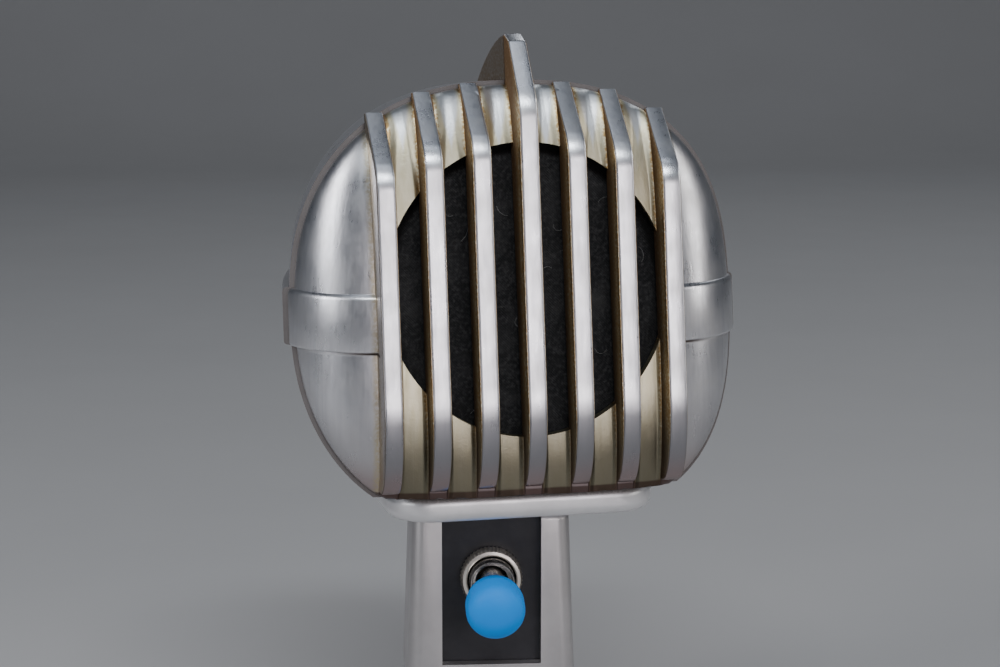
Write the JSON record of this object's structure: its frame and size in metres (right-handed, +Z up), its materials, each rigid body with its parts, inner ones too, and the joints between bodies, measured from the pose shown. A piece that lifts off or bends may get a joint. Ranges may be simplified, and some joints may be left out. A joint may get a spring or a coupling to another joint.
{
  "type": "ribbon microphone",
  "caption": "Ribbed cast-metal ribbon microphone head with a crest fin and side belts, tilting on a saddle plate and swivelling on a neck with a toggle switch and stand socket.",
  "frame": {"origin": "centre of the stand socket's bottom face", "axes": "+Z up along the neck, -Y out of the neck's switch side, +X to the viewer's right of it; the head is stored swivelled 9 degrees about +Z"},
  "size_m": [0.0879, 0.0803, 0.1544],
  "materials": {
    "cast_aluminium": "satin aged die casting, worn and hand polished",
    "plated_steel": "dull nickel plating",
    "brass": "bright",
    "black_cloth": "black woven cloth",
    "black_board": "matt black",
    "blue_plastic": "soft gloss blue",
    "magnet_iron": "dark iron",
    "ribbon_foil": "bright foil",
    "rubber": "matt",
    "winding": "enamelled wire under varnish",
    "phenolic": "brown laminate"
  },
  "bodies": {
    "neck": {"neck_housing": "cast_aluminium", "switch_plate": "black_board", "neck_back_cover": "cast_aluminium", "cover_screw_top": "plated_steel", "cover_screw_bottom": "plated_steel", "inlet_shell": "plated_steel", "inlet_insert": "phenolic", "inlet_pin_1": "brass", "inlet_pin_2": "brass", "inlet_pin_3": "brass", "stand_coupler": "cast_aluminium", "switch_body": "phenolic", "switch_nut": "plated_steel", "switch_terminal_1": "brass", "switch_terminal_2": "brass", "swivel_ring": "plated_steel", "swivel_washer": "phenolic"},
    "swivel": {"swivel_post": "plated_steel"},
    "head": {"front_shell": "cast_aluminium", "rear_shell": "cast_aluminium", "front_cloth": "black_cloth", "front_cloth_ring": "brass", "rear_cloth": "black_cloth", "rear_cloth_ring": "brass", "saddle_plate": "cast_aluminium", "saddle_screw_1": "plated_steel", "saddle_screw_2": "plated_steel", "saddle_screw_3": "plated_steel", "saddle_screw_4": "plated_steel", "tilt_bracket": "plated_steel", "pivot_bolt": "plated_steel", "pivot_nut": "plated_steel", "friction_washer_l": "phenolic", "friction_washer_r": "phenolic", "shell_screw_l": "plated_steel", "shell_screw_r": "plated_steel", "pole_piece_l": "magnet_iron", "pole_piece_r": "magnet_iron", "magnet_l": "magnet_iron", "magnet_r": "magnet_iron", "motor_yoke": "magnet_iron", "motor_plate_bottom": "phenolic", "motor_plate_top": "phenolic", "ribbon_clamp_bottom": "brass", "ribbon_clamp_top": "brass", "ribbon": "ribbon_foil", "rubber_mount_bottom": "rubber", "rubber_mount_top": "rubber", "transformer_core": "magnet_iron", "transformer_coil": "winding", "terminal_board": "phenolic"},
    "lever": {"toggle_lever": "plated_steel", "lever_cap": "blue_plastic"},
    "rocker": {"contact_rocker": "brass"}
  },
  "joints": [
    {"name": "head_swivel", "type": "hinge", "parent": "neck", "child": "swivel", "pos_m": [0, 0, 0.0566], "axis": [0, 0, 1], "range_deg": [-69, 51]},
    {"name": "head_tilt", "type": "hinge", "parent": "swivel", "child": "head", "pos_m": [0, 0, 0.079], "axis": [0.9877, 0.1564, 0], "range_deg": [-10, 10]},
    {"name": "switch_lever", "type": "hinge", "parent": "neck", "child": "lever", "pos_m": [0, -0.0162, 0.046], "axis": [1, 0, 0], "range_deg": [-26, 0]},
    {"name": "contact_rock", "type": "hinge", "parent": "neck", "child": "rocker", "pos_m": [0, -0.0072, 0.046], "axis": [1, 0, 0], "range_deg": [-0.5, 16.5]}
  ],
  "couplings": [
    {"joint": "contact_rock", "follows": "switch_lever", "ratio": -0.6}
  ]
}
